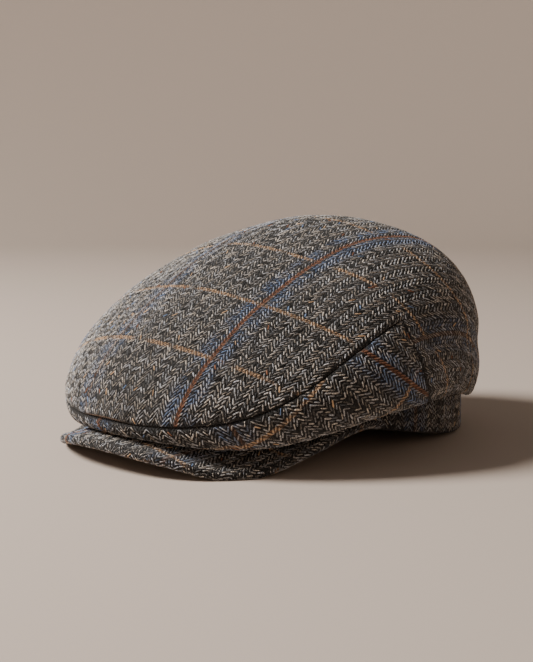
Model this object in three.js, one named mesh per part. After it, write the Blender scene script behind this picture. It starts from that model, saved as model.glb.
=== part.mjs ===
// Flat cap lying on a surface, in millimetres.
// +Z is up, the peak points along -Y, and the cap is the same on its left and right.
// The crown is drawn as half sections that fan out round an upright axis through its highest point.

import * as THREE from 'three';

// Driving dimensions
const CLOTH = 2;                  // wall of the crown cloth
const GAP = 0.35;                 // clearance between neighbouring pieces
const PANEL_GAP = 1;              // the same between the panels, measured along a section
const CROWN_AXIS_Y = 28;          // the axis that the half sections fan out from
const CROWN_TOP_Z = 128.5;

const BAND_HALF_LENGTH = 99;      // outer face of the headband, an oval
const BAND_HALF_WIDTH = 88;
const BAND_CENTRE_Y = 20.5;
const BAND_WALL = 3;
const BAND_RISE = 19;             // the band's lower edge is this high at the front
const BAND_RISE_START_Y = 88;     // behind this the band lies on the surface
const BAND_RISE_END_Y = -60;
const BAND_ABOVE_JOIN = 3;        // the band goes on past the crown's inner edge
const BAND_EDGE = 0.8;            // bevel along the band's edges

const PEAK_THICKNESS = 5;
const PEAK_HALF_WIDTH = 90.5;
const PEAK_SHOULDER_Y = -31;      // where the peak is widest
const PEAK_FRONT_Y = -146;
const PEAK_ROUNDNESS = 2.26;      // exponent of the peak's outline, 2 is an ellipse
const PEAK_END_Y = -11;           // the tips where the peak runs out along the band
const PEAK_TIP = 3;               // width left at those tips
const PEAK_HOLLOW = 1.4;          // the peak flattens out towards its front edge

// Half sections of the crown, from the front (0) round the side to the back (180), in degrees.
// reach: from the axis to the widest line; widestZ: height of that line;
// tuck: how far the hem lies inside it; hemZ: lowest height of the rolled hem;
// joinZ: height where the cloth meets the band; rise and spread: how full the dome is
const CROWN_SECTIONS = [
  { angle: 0, reach: 168, widestZ: 26, tuck: 11, hemZ: 17.3, joinZ: 25.5, rise: 0.37, spread: 0.39 },
  { angle: 30, reach: 155, widestZ: 31, tuck: 7, hemZ: 15.6, joinZ: 27, rise: 0.36, spread: 0.42 },
  { angle: 60, reach: 136, widestZ: 43, tuck: 13, hemZ: 29.5, joinZ: 32, rise: 0.49, spread: 0.41 },
  { angle: 90, reach: 112, widestZ: 49, tuck: 11, hemZ: 31.5, joinZ: 34, rise: 0.57, spread: 0.52 },
  { angle: 120, reach: 99.5, widestZ: 55, tuck: 7, hemZ: 23, joinZ: 28, rise: 0.61, spread: 0.61 },
  { angle: 150, reach: 98, widestZ: 60, tuck: 6, hemZ: 23.5, joinZ: 27.5, rise: 0.60, spread: 0.60 },
  { angle: 180, reach: 99.5, widestZ: 62, tuck: 5.5, hemZ: 23.5, joinZ: 27.5, rise: 0.62, spread: 0.62 },
];

// Stages of a half section, as a share of its whole run from the band to the top
const AT_HEM = 0.12;
const AT_WIDEST = 0.36;
const HEM_FULLNESS = 0.6;         // where the turned-in cloth bends, between the band and the hem
const HEM_BEND = 1.4;             // exponent of the turned-in cloth's rise from the hem to the band

// The curved seam between the panels, from the front centre to its end on the side,
// and then the short edge that drops from there to the hem. up is a share of the section's run.
const SEAM = [
  { angle: 0, up: 0.352 },
  { angle: 17, up: 0.34 },
  { angle: 34, up: 0.388 },
  { angle: 51, up: 0.484 },
  { angle: 66, up: 0.53 },
];
const SEAM_END_ANGLE = 66;
const PANEL_REAR_ANGLE = 77;      // the side panel's rear edge meets the band here

// Soft fold that runs back from the seam's end on both sides, sinking as it goes
const FOLD = [
  { angle: 58, z: 78, depth: 0 },
  { angle: 72, z: 69, depth: 2.4 },
  { angle: 90, z: 62, depth: 3 },
  { angle: 118, z: 56, depth: 1.6 },
  { angle: 155, z: 54, depth: 0 },
];
const FOLD_WIDTH = 11;

// Height of the peak's lower face along its outline, by angle from the front centre.
// It rests on the surface on both sides and stands clear of it at the front.
const PEAK_LIFT = [
  { angle: 0, lift: 10.8 },
  { angle: 24, lift: 7 },
  { angle: 44, lift: 0 },
  { angle: 56, lift: 0 },
  { angle: 74, lift: 9.5 },
  { angle: 90, lift: 17.5 },
  { angle: 112, lift: 15.5 },
];
const PEAK_LAST_ANGLE = 112;

// How finely the curved faces are cut into flat ones
const SIDE_COLUMNS = 46;
const SIDE_ROWS = 9;
const TOP_COLUMNS = [14, SIDE_ROWS, 17];  // from the front to the seam's end, the edge, to the back
const DOME_ROWS = 14;
const DOME_ROW_SPACING = 1.3;     // exponent that sets the rows closer together low down
const BAND_COLUMNS = 72;
const PEAK_COLUMNS = 40;
const PEAK_ROWS = 6;
const PEAK_NOSE_STEPS = 4;
const SHORT_RUN = 0.004;          // share of a section's run, and degrees, that stand for a short step
const SHORT_TURN = 0.5;

const TWEED = { color: 0x55534f, roughness: 0.95, metalness: 0 };

const toRadians = THREE.MathUtils.degToRad;
const lerp = THREE.MathUtils.lerp;

// Smooth value of one column of a table at an angle, level at its first and last rows
function tableValue(rows, column, angle) {
  const last = rows.length - 1;
  const at = THREE.MathUtils.clamp(Math.abs(angle), rows[0].angle, rows[last].angle);
  let k = 0;
  while (k < last - 1 && rows[k + 1].angle < at) {
    k += 1;
  }
  const slopeAt = (i) => {
    if (i === 0 || i === last) {
      return 0;
    }
    return (rows[i + 1][column] - rows[i - 1][column]) / (rows[i + 1].angle - rows[i - 1].angle);
  };
  const span = rows[k + 1].angle - rows[k].angle;
  const t = (at - rows[k].angle) / span;
  const t2 = t * t;
  const t3 = t2 * t;
  return (2 * t3 - 3 * t2 + 1) * rows[k][column] + (t3 - 2 * t2 + t) * span * slopeAt(k)
    + (3 * t2 - 2 * t3) * rows[k + 1][column] + (t3 - t2) * span * slopeAt(k + 1);
}

// Distance from the crown's axis to the band's outer face in one plan direction
function bandReach(angle) {
  const sin = Math.sin(toRadians(angle));
  const cos = Math.cos(toRadians(angle));
  const offset = CROWN_AXIS_Y - BAND_CENTRE_Y;
  const a = (sin / BAND_HALF_WIDTH) ** 2 + (cos / BAND_HALF_LENGTH) ** 2;
  const b = -2 * cos * offset / BAND_HALF_LENGTH ** 2;
  const c = (offset / BAND_HALF_LENGTH) ** 2 - 1;
  return (-b + Math.sqrt(b * b - 4 * a * c)) / (2 * a);
}

// Height of the band's lower edge at a place along the cap
function bandBottom(y) {
  return BAND_RISE * (1 - THREE.MathUtils.smoothstep(y, BAND_RISE_END_Y, BAND_RISE_START_Y));
}

// How far the fold presses the cloth in
function foldDepth(angle, z) {
  const away = (z - tableValue(FOLD, 'z', angle)) / FOLD_WIDTH;
  return tableValue(FOLD, 'depth', angle) * Math.exp(-away * away);
}

// A point on the crown's outer face. up runs from 0 at the band, under the hem,
// over the widest line, to 1 at the top.
function crownPoint(angle, up) {
  const value = (column) => tableValue(CROWN_SECTIONS, column, angle);
  const reach = value('reach');
  const widestZ = value('widestZ');
  const hemReach = reach - value('tuck');
  const hemZ = value('hemZ');
  let r;
  let z;
  if (up < AT_HEM) {
    const t = up / AT_HEM;
    const joinReach = bandReach(angle) + GAP;
    const bendReach = lerp(joinReach, hemReach, HEM_FULLNESS);
    r = (1 - t) ** 2 * joinReach + 2 * t * (1 - t) * bendReach + t * t * hemReach;
    z = hemZ + (1 - t) ** HEM_BEND * (value('joinZ') - hemZ);
  } else if (up < AT_WIDEST) {
    const turn = (up - AT_HEM) / (AT_WIDEST - AT_HEM) * Math.PI / 2;
    r = hemReach + (reach - hemReach) * Math.sin(turn);
    z = widestZ - (widestZ - hemZ) * Math.cos(turn);
  } else {
    const t = (up - AT_WIDEST) / (1 - AT_WIDEST);
    const near = (1 - t) ** 3 + 3 * t * (1 - t) ** 2;
    const over = 3 * t * t * (1 - t);
    const shoulderZ = widestZ + value('rise') * (CROWN_TOP_Z - widestZ);
    r = reach * near + reach * value('spread') * over;
    z = widestZ * (1 - t) ** 3 + shoulderZ * 3 * t * (1 - t) ** 2 + CROWN_TOP_Z * (over + t ** 3);
  }
  r -= foldDepth(angle, z) * THREE.MathUtils.smoothstep(up, AT_HEM, AT_WIDEST);
  const direction = toRadians(angle);
  return new THREE.Vector3(r * Math.sin(direction), CROWN_AXIS_Y - r * Math.cos(direction), z);
}

// The point CLOTH deep inside the crown's outer face
function crownInnerPoint(angle, up) {
  const middle = crownPoint(angle, up);
  if (up > 1 - SHORT_RUN) {
    return middle.setZ(middle.z - CLOTH);
  }
  const above = crownPoint(angle, Math.min(up + SHORT_RUN, 1));
  const below = crownPoint(angle, Math.max(up - SHORT_RUN, 0));
  const along = above.sub(below);
  const across = crownPoint(angle + SHORT_TURN, up).sub(crownPoint(angle - SHORT_TURN, up));
  const inward = along.cross(across).normalize();
  return middle.addScaledVector(inward, CLOTH);
}

// Share of a section's run that one millimetre takes
function shareOfMillimetre(angle, up) {
  return SHORT_RUN / crownPoint(angle, up + SHORT_RUN).distanceTo(crownPoint(angle, up));
}

// Height along the section of the edge that parts the top panel from the side panel:
// the seam, then a straight edge down to the band. clear moves it away from the side panel.
function panelEdge(angle, clear) {
  const side = Math.abs(angle);
  if (side <= SEAM_END_ANGLE) {
    const up = tableValue(SEAM, 'up', side);
    return up + clear * shareOfMillimetre(angle, up);
  }
  const start = panelEdge(SEAM_END_ANGLE, clear);
  const end = PANEL_REAR_ANGLE + degreesOfMillimetre(PANEL_REAR_ANGLE) * clear;
  const t = (side - SEAM_END_ANGLE) / (end - SEAM_END_ANGLE);
  return Math.max(0, start * (1 - t));
}

// Turn about the crown's axis that moves a point of the hem by one millimetre
function degreesOfMillimetre(angle) {
  return THREE.MathUtils.radToDeg(1 / bandReach(angle));
}

// Turns about the crown's axis of the top panel's sections, with one at each corner of its edge
function topPanelAngles() {
  const rear = PANEL_REAR_ANGLE + degreesOfMillimetre(PANEL_REAR_ANGLE) * PANEL_GAP;
  const corners = [0, SEAM_END_ANGLE, rear, 180];
  const half = [];
  for (let k = 0; k < corners.length - 1; k += 1) {
    for (let i = 0; i < TOP_COLUMNS[k]; i += 1) {
      half.push(lerp(corners[k], corners[k + 1], i / TOP_COLUMNS[k]));
    }
  }
  const mirrored = half.slice(1).map((angle) => -angle).reverse();
  return [-180, ...mirrored, ...half];
}

// Closed body through a row of section loops. Each loop is a strip: its first half runs along
// one face and its second half comes back along the other. A body that doesn't close on
// itself gets its ends covered between the two halves.
function loftStrips(loops, closed) {
  const positions = [];
  const indices = [];
  const known = new Map();
  const indexOf = (p) => {
    const key = `${p.x.toFixed(4)},${p.y.toFixed(4)},${p.z.toFixed(4)}`;
    if (!known.has(key)) {
      known.set(key, positions.length / 3);
      positions.push(p.x, p.y, p.z);
    }
    return known.get(key);
  };
  const addTriangle = (a, b, c) => {
    if (a !== b && b !== c && c !== a) {
      indices.push(a, b, c);
    }
  };
  const addQuad = (p, q, r, s) => {
    const [a, b, c, d] = [p, q, r, s].map(indexOf);
    addTriangle(a, b, c);
    addTriangle(a, c, d);
  };
  const size = loops[0].length;
  const spans = closed ? loops.length : loops.length - 1;
  for (let i = 0; i < spans; i += 1) {
    const here = loops[i];
    const next = loops[(i + 1) % loops.length];
    for (let j = 0; j < size; j += 1) {
      const k = (j + 1) % size;
      addQuad(here[j], here[k], next[k], next[j]);
    }
  }
  if (!closed) {
    const first = loops[0];
    const last = loops[loops.length - 1];
    for (let j = 0; j < size / 2 - 1; j += 1) {
      const k = size - 1 - j;
      addQuad(first[k], first[k - 1], first[j + 1], first[j]);
      addQuad(last[j], last[j + 1], last[k - 1], last[k]);
    }
  }
  const geometry = new THREE.BufferGeometry();
  geometry.setAttribute('position', new THREE.Float32BufferAttribute(positions, 3));
  geometry.setIndex(facingOut(positions, indices));
  geometry.computeVertexNormals();
  return geometry;
}

// The same triangles, turned round if they enclose a negative volume
function facingOut(positions, indices) {
  const corner = (i) => new THREE.Vector3().fromArray(positions, 3 * i);
  let volume = 0;
  for (let i = 0; i < indices.length; i += 3) {
    const [a, b, c] = [corner(indices[i]), corner(indices[i + 1]), corner(indices[i + 2])];
    volume += a.dot(b.cross(c));
  }
  return volume > 0 ? indices : indices.slice().reverse();
}

// Loop down the outer face of a crown wall from one height to another and back up the inner face
function wallLoop(outerPoints, innerPoints) {
  return outerPoints.concat(innerPoints.slice().reverse());
}

// The cloth over the top, from the seam, and down the back to the band
function topPanel() {
  const loops = topPanelAngles().map((angle) => {
    const start = panelEdge(angle, PANEL_GAP);
    const outer = [];
    const inner = [];
    for (let row = 0; row <= DOME_ROWS; row += 1) {
      const up = lerp(start, 1, (row / DOME_ROWS) ** DOME_ROW_SPACING);
      outer.push(crownPoint(angle, up));
      inner.push(crownInnerPoint(angle, up));
    }
    return wallLoop(outer, inner);
  });
  return loftStrips(loops, true);
}

// The cloth under the seam, round the front and along both sides
function sidePanel() {
  const loops = [];
  for (let i = 0; i <= SIDE_COLUMNS; i += 1) {
    const along = 2 * i / SIDE_COLUMNS - 1;
    const outer = [];
    const inner = [];
    for (let row = 0; row <= SIDE_ROWS; row += 1) {
      const share = row / SIDE_ROWS;
      const angle = along * lerp(PANEL_REAR_ANGLE, SEAM_END_ANGLE, share);
      const up = share * tableValue(SEAM, 'up', angle);
      outer.push(crownPoint(angle, up));
      inner.push(crownInnerPoint(angle, up));
    }
    loops.push(wallLoop(outer, inner));
  }
  return loftStrips(loops, false);
}

// The band round the head opening, folded double at its lower edge
function headband() {
  const loops = [];
  for (let i = 0; i < BAND_COLUMNS; i += 1) {
    const angle = 360 * i / BAND_COLUMNS - 180;
    const direction = toRadians(angle);
    const reach = bandReach(angle);
    const y = CROWN_AXIS_Y - reach * Math.cos(direction);
    const bottom = bandBottom(y);
    const top = tableValue(CROWN_SECTIONS, 'joinZ', angle) + BAND_ABOVE_JOIN;
    const at = (depth, z) => new THREE.Vector3(
      (reach - depth) * Math.sin(direction),
      CROWN_AXIS_Y - (reach - depth) * Math.cos(direction),
      z,
    );
    loops.push([
      at(BAND_EDGE, bottom),
      at(0, bottom + BAND_EDGE),
      at(0, top - BAND_EDGE),
      at(BAND_EDGE, top),
      at(BAND_WALL - BAND_EDGE, top),
      at(BAND_WALL, top - BAND_EDGE),
      at(BAND_WALL, bottom + BAND_EDGE),
      at(BAND_WALL - BAND_EDGE, bottom),
    ]);
  }
  return loftStrips(loops, true);
}

// A point of the peak's outline: a broad curve in front and a rounded shoulder behind it
function peakOutline(angle) {
  const side = Math.abs(angle);
  const sign = Math.sign(angle);
  const z = Math.max(0, tableValue(PEAK_LIFT, 'lift', side));
  if (side <= 90) {
    const sin = Math.sin(toRadians(side)) ** (2 / PEAK_ROUNDNESS);
    const cos = Math.cos(toRadians(side)) ** (2 / PEAK_ROUNDNESS);
    const y = PEAK_SHOULDER_Y + (PEAK_FRONT_Y - PEAK_SHOULDER_Y) * cos;
    return new THREE.Vector3(sign * PEAK_HALF_WIDTH * sin, y, z);
  }
  const turn = (side - 90) / (PEAK_LAST_ANGLE - 90) * Math.PI / 2;
  const endX = peakRoot(PEAK_LAST_ANGLE).x + PEAK_TIP;
  const x = endX + (PEAK_HALF_WIDTH - endX) * Math.cos(turn);
  return new THREE.Vector3(sign * x, lerp(PEAK_SHOULDER_Y, PEAK_END_Y, Math.sin(turn)), z);
}

// The point where the peak meets the band, for the same angle along its outline
function peakRoot(angle) {
  const endTurn = Math.acos((BAND_CENTRE_Y - PEAK_END_Y) / BAND_HALF_LENGTH);
  const turn = endTurn * angle / PEAK_LAST_ANGLE;
  const x = (BAND_HALF_WIDTH + GAP) * Math.sin(turn);
  const y = BAND_CENTRE_Y - (BAND_HALF_LENGTH + GAP) * Math.cos(turn);
  return new THREE.Vector3(x, y, bandBottom(y));
}

// The stiff peak: a curved plate with a rounded front edge
function peak() {
  const loops = [];
  const half = PEAK_THICKNESS / 2;
  for (let i = 0; i <= PEAK_COLUMNS; i += 1) {
    const angle = (2 * i / PEAK_COLUMNS - 1) * PEAK_LAST_ANGLE;
    const root = peakRoot(angle);
    const tip = peakOutline(angle);
    const outward = tip.clone().sub(root).setZ(0);
    const width = outward.length();
    outward.normalize();
    const nose = Math.min(half, width / 3);
    const lower = [];
    const upper = [];
    for (let row = 0; row <= PEAK_ROWS; row += 1) {
      const share = row / PEAK_ROWS;
      const distance = share * (width - nose);
      const z = lerp(tip.z, root.z, (1 - share) ** PEAK_HOLLOW);
      const p = root.clone().addScaledVector(outward, distance).setZ(z);
      lower.push(p);
      upper.push(p.clone().setZ(z + PEAK_THICKNESS));
    }
    for (let step = 1; step < PEAK_NOSE_STEPS; step += 1) {
      const turn = Math.PI / 2 * step / PEAK_NOSE_STEPS;
      const out = width - nose + nose * Math.sin(turn);
      const p = root.clone().addScaledVector(outward, out);
      lower.push(p.clone().setZ(tip.z + half * (1 - Math.cos(turn))));
      upper.push(p.clone().setZ(tip.z + half * (1 + Math.cos(turn))));
    }
    loops.push(lower.concat(upper.reverse()));
  }
  return loftStrips(loops, false);
}

function piece(name, geometry) {
  const mesh = new THREE.Mesh(geometry, new THREE.MeshStandardMaterial(TWEED));
  mesh.name = name;
  return mesh;
}

const cap = new THREE.Group();
cap.add(piece('top_panel', topPanel()));
cap.add(piece('side_panel', sidePanel()));
cap.add(piece('headband', headband()));
cap.add(piece('peak', peak()));

// The origin is the middle of the cap's box, on the surface it lies on
const box = new THREE.Box3().setFromObject(cap);
const middle = box.getCenter(new THREE.Vector3());
cap.position.set(0, -middle.y, -box.min.z);

export default cap;
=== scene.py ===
"""A flat cap of herringbone tweed with a windowpane check, lying on a plain floor."""

import logging
import math
from dataclasses import dataclass, field
from enum import Enum
from functools import partialmethod

import bmesh
import bpy
import numpy as np
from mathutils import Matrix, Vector

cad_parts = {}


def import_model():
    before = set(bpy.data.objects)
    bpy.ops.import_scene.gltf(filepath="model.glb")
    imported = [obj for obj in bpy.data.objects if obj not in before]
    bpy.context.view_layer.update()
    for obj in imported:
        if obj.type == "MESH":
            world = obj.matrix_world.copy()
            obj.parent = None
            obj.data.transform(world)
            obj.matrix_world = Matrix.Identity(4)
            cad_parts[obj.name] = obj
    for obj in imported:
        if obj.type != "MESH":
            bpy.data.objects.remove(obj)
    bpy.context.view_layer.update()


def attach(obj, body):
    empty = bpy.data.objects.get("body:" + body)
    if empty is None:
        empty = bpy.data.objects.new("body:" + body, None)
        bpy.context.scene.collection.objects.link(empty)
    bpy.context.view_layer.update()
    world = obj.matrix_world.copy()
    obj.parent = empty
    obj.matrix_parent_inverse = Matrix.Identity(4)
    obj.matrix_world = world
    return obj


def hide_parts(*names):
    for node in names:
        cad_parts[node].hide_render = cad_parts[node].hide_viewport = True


MM = 0.001
BODY = "root"
CLOTH_MAP = "Cloth"
BAKE_MAP = "OFBake"
SLOPE_STEP = 0.004                 # share of a half section over which its slope is taken
PLACE_DIGITS = 7                   # places in metres that agree to this are one point
SHARP_ANGLE = math.radians(60)
BAKE_EDGE = 0.005                  # margin of a cloth body's bake layout
BAKE_STRIP = 0.15                  # top of the strip that holds its inner face
BAKE_FACE = 0.165                  # foot of its outer face
CELL_REACH = 0.46                  # half a float's share of its bake cell
LIP_ROWS = np.array([0, 0.2, 0.5, 0.9, 1.4, 2.0, 2.8])   # rows of a rolled edge, in mm from it
Array = np.ndarray
log = logging.getLogger("flat_cap")


def smoothstep(value: Array, low: float, high: float) -> Array:
    """Returns 0 below low, 1 above high and a smooth rise between them."""
    t = np.clip((value - low) / (high - low), 0, 1)
    return t * t * (3 - 2 * t)


def unit(vectors: Array) -> Array:
    """Returns vectors along the last axis, each made one long."""
    return vectors / np.maximum(np.linalg.norm(vectors, axis=-1, keepdims=True), 1e-12)


def run_length(points: Array, axis: int) -> Array:
    """Length along rows of points, starting from 0.

    Args:
        points: grid of points, with the coordinates last.
        axis: the grid axis that is followed.

    Returns:
        The length run so far at each point of the grid.
    """
    steps = np.linalg.norm(np.diff(points, axis=axis), axis=-1)
    start = np.zeros_like(np.take(steps, [0], axis=axis))
    return np.concatenate([start, np.cumsum(steps, axis=axis)], axis=axis)


def linked(name: str, data: bpy.types.ID) -> bpy.types.Object:
    """Returns a new object that is in the scene."""
    thing = bpy.data.objects.new(name, data)
    bpy.context.scene.collection.objects.link(thing)
    return thing


class Table:
    """Rows of named columns over an angle in degrees, read off smoothly on both sides."""

    def __init__(self, columns: str, *rows: tuple[float, ...]) -> None:
        """Keeps the rows. The first column is the angle."""
        self.columns = {name: index for index, name in enumerate(columns.split())}
        self.rows = np.array(rows, dtype=float)

    def at(self, column: str, angle: Array) -> Array:
        """Value of a column at an angle, level at the first and last rows.

        Args:
            column: name of the column.
            angle: angles in degrees, the same to the left and to the right.

        Returns:
            One value for each angle.
        """
        x = self.rows[:, 0]
        y = self.rows[:, self.columns[column]]
        slope = np.zeros_like(y)
        slope[1:-1] = (y[2:] - y[:-2]) / (x[2:] - x[:-2])
        a = np.clip(np.abs(angle), x[0], x[-1])
        k = np.clip(np.searchsorted(x, a, side="right") - 1, 0, len(x) - 2)
        span = x[k + 1] - x[k]
        t = (a - x[k]) / span
        rise = t * t * (3 - 2 * t)
        bend = slope[k] * t * (1 - t) ** 2 - slope[k + 1] * t * t * (1 - t)
        return y[k] + rise * (y[k + 1] - y[k]) + span * bend


@dataclass(frozen=True)
class BandShape:
    """The oval of the headband and its lower edge, in millimetres."""

    half_length: float = 99
    half_width: float = 88
    centre_y: float = 20.5
    wall: float = 3
    rise: float = 19
    rise_start_y: float = 88
    rise_end_y: float = -60
    above_join: float = 3

    def reach(self, angle: Array, axis_y: float) -> Array:
        """Distance from the crown's axis to the outer face.

        Args:
            angle: directions in degrees from the front.
            axis_y: place of the crown's axis.

        Returns:
            One distance for each direction.
        """
        sin, cos = np.sin(np.radians(angle)), np.cos(np.radians(angle))
        offset = axis_y - self.centre_y
        a = (sin / self.half_width) ** 2 + (cos / self.half_length) ** 2
        b = -2 * cos * offset / self.half_length**2
        c = (offset / self.half_length) ** 2 - 1
        return (-b + np.sqrt(b * b - 4 * a * c)) / (2 * a)

    def bottom(self, y: Array) -> Array:
        """Returns the height of the lower edge at places along the cap."""
        return self.rise * (1 - smoothstep(y, self.rise_end_y, self.rise_start_y))


@dataclass(frozen=True)
class CrownShape:
    """The crown as half sections that fan out round an upright axis, in millimetres."""

    band: BandShape = BandShape()
    cloth: float = 2
    gap: float = 0.35
    axis_y: float = 28
    top_z: float = 128.5
    shift_y: float = 9.39
    at_hem: float = 0.12
    at_widest: float = 0.36
    hem_bend: float = 1.4
    hem_fullness: float = 0.6
    seam_end: float = 66
    panel_rear: float = 77
    fold_width: float = 8.5
    broad_wave: float = 0.45
    fine_wave: float = 0.25
    sections: Table = Table(
        "angle reach widest_z tuck hem_z join_z rise spread",
        (0, 168, 26, 11, 17.3, 25.5, 0.37, 0.39),
        (30, 155, 31, 7, 15.6, 27, 0.36, 0.42),
        (60, 136, 43, 13, 29.5, 32, 0.49, 0.41),
        (90, 112, 49, 11, 31.5, 34, 0.57, 0.52),
        (120, 99.5, 55, 7, 23, 28, 0.61, 0.61),
        (150, 98, 60, 6, 23.5, 27.5, 0.60, 0.60),
        (180, 99.5, 62, 5.5, 23.5, 27.5, 0.62, 0.62),
    )
    seam: Table = Table("angle up", (0, 0.352), (17, 0.34), (34, 0.388), (51, 0.484), (66, 0.53))
    fold: Table = Table(
        "angle z depth", (58, 78, 0), (70, 70, 3.4), (90, 62, 4.4), (118, 56, 2.2), (155, 54, 0)
    )

    def plain_point(self, angle: Array, up: Array) -> Array:
        """Point on the outer face.

        Args:
            angle: direction in degrees from the front.
            up: 0 at the band, then under the hem, over the widest line, to 1 at the top.

        Returns:
            Points in the part's frame, in millimetres.
        """
        angle, up = np.broadcast_arrays(np.asarray(angle, float), np.asarray(up, float))
        reach = self.sections.at("reach", angle)
        widest = self.sections.at("widest_z", angle)
        hem_reach = reach - self.sections.at("tuck", angle)
        hem_z = self.sections.at("hem_z", angle)

        t = np.clip(up / self.at_hem, 0, 1)
        join = self.band.reach(angle, self.axis_y) + self.gap
        bend = join + self.hem_fullness * (hem_reach - join)
        under_r = (1 - t) ** 2 * join + 2 * t * (1 - t) * bend + t * t * hem_reach
        join_z = self.sections.at("join_z", angle)
        under_z = hem_z + (1 - t) ** self.hem_bend * (join_z - hem_z)

        turn = np.clip((up - self.at_hem) / (self.at_widest - self.at_hem), 0, 1) * math.pi / 2
        wall_r = hem_reach + (reach - hem_reach) * np.sin(turn)
        wall_z = widest - (widest - hem_z) * np.cos(turn)

        t = np.clip((up - self.at_widest) / (1 - self.at_widest), 0, 1)
        over = 3 * t * t * (1 - t)
        low = 3 * t * (1 - t) ** 2
        dome_r = reach * ((1 - t) ** 3 + low + self.sections.at("spread", angle) * over)
        shoulder = widest + self.sections.at("rise", angle) * (self.top_z - widest)
        dome_z = widest * (1 - t) ** 3 + shoulder * low + self.top_z * (over + t**3)

        under, wall = up < self.at_hem, up < self.at_widest
        r = np.where(under, under_r, np.where(wall, wall_r, dome_r))
        z = np.where(under, under_z, np.where(wall, wall_z, dome_z))
        away = (z - self.fold.at("z", angle)) / self.fold_width
        depth = self.fold.at("depth", angle) * np.exp(-away * away)
        r = r - depth * smoothstep(up, self.at_hem, self.at_widest)
        direction = np.radians(angle)
        y = self.axis_y - r * np.cos(direction) + self.shift_y
        return np.stack([r * np.sin(direction), y, z], axis=-1)

    def outward(self, angle: Array, up: Array) -> Array:
        """Returns the outer face's normals at those places."""
        angle, up = np.broadcast_arrays(np.asarray(angle, float), np.asarray(up, float))
        above = self.plain_point(angle, np.minimum(up + SLOPE_STEP, 1))
        below = self.plain_point(angle, np.maximum(up - SLOPE_STEP, 0))
        across = self.plain_point(angle + 0.5, up) - self.plain_point(angle - 0.5, up)
        normal = np.cross(across, above - below)
        normal[up > 1 - SLOPE_STEP] = (0, 0, 1)
        return unit(normal)

    def waves(self, places: Array) -> Array:
        """Returns how far the soft cloth swells or sinks at places on the outer face."""
        # The numbers under x, y and z set how long the waves are, in millimetres.
        x, y, z = np.moveaxis(places, -1, 0)
        broad = np.sin(x / 17 + 1.3 * np.sin(y / 29)) * np.sin(y / 23 + z / 19 + 0.7)
        fine = self.fine_wave * np.sin(x / 9 - y / 13) * np.sin(z / 11 + y / 31)
        return self.broad_wave * broad + fine

    def point(self, angle: Array, up: Array, offset: Array | float = 0) -> Array:
        """Point off the outer face, with the cloth's soft unevenness.

        Args:
            angle: direction in degrees from the front.
            up: place along the half section.
            offset: distance out from the outer face.

        Returns:
            Points in the part's frame, in millimetres.
        """
        plain = self.plain_point(angle, up)
        free = smoothstep(np.asarray(up), self.at_hem, self.at_widest)
        free = self.waves(plain) * free * smoothstep(1 - np.asarray(up), 0, 0.1)
        out = np.asarray(offset) + free
        return plain + self.outward(angle, up) * out[..., None]

    def share_of_mm(self, angle: Array, up: Array) -> Array:
        """Returns the share of a half section's run that one millimetre takes."""
        step = self.plain_point(angle, up + SLOPE_STEP) - self.plain_point(angle, up)
        return SLOPE_STEP / np.linalg.norm(step, axis=-1)

    def panel_edge(self, angle: Array, clear: float, rear_clear: float) -> Array:
        """Height along the section of the edge that parts the top panel from the side panel.

        Args:
            angle: directions in degrees.
            clear: millimetres between this edge and the seam line.
            rear_clear: the same at the side panel's rear edge.

        Returns:
            The edge's place along each half section.
        """
        side = np.abs(angle)
        up = self.seam.at("up", side)
        up = up + clear * self.share_of_mm(side, up)
        rear_reach = self.band.reach(np.array(self.panel_rear), self.axis_y)
        rear = self.panel_rear + math.degrees(rear_clear / rear_reach)
        corner = np.array(self.seam_end)
        start = self.seam.at("up", corner)
        start = start + clear * self.share_of_mm(corner, start)
        fall = start * (1 - (side - self.seam_end) / (rear - self.seam_end))
        return np.where(side <= self.seam_end, up, np.maximum(fall, 0))


@dataclass
class Chart:
    """One face of a cloth piece: a grid of places, and where each lies on the flat bolt."""

    places: Array
    normals: Array
    flat: Array
    closed: bool = False

    def triangles(self) -> list[tuple[int, int, int]]:
        """Returns the grid's triangles as corner numbers."""
        columns, rows = self.places.shape[:2]
        spans = columns if self.closed else columns - 1
        i, j = np.meshgrid(np.arange(spans), np.arange(rows - 1), indexing="ij")
        here, there = i * rows + j, (i + 1) % columns * rows + j
        first = np.stack([here, there, there + 1], -1).reshape(-1, 3)
        second = np.stack([here, there + 1, here + 1], -1).reshape(-1, 3)
        return [tuple(t) for t in np.concatenate([first, second]).tolist()]

    def mesh(self, name: str) -> bpy.types.Mesh:
        """Returns the face as a mesh whose points carry their flat places and normals."""
        mesh = bpy.data.meshes.new(name)
        mesh.from_pydata((self.places.reshape(-1, 3) * MM).tolist(), [], self.triangles())
        flat = np.concatenate([self.flat, np.zeros_like(self.flat[..., :1])], -1) * MM
        for key, values in (("flat_place", flat), ("outward", self.normals)):
            layer = mesh.attributes.new(key, "FLOAT_VECTOR", "POINT")
            layer.data.foreach_set("vector", np.ascontiguousarray(values, np.float32).ravel())
        return mesh


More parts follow.
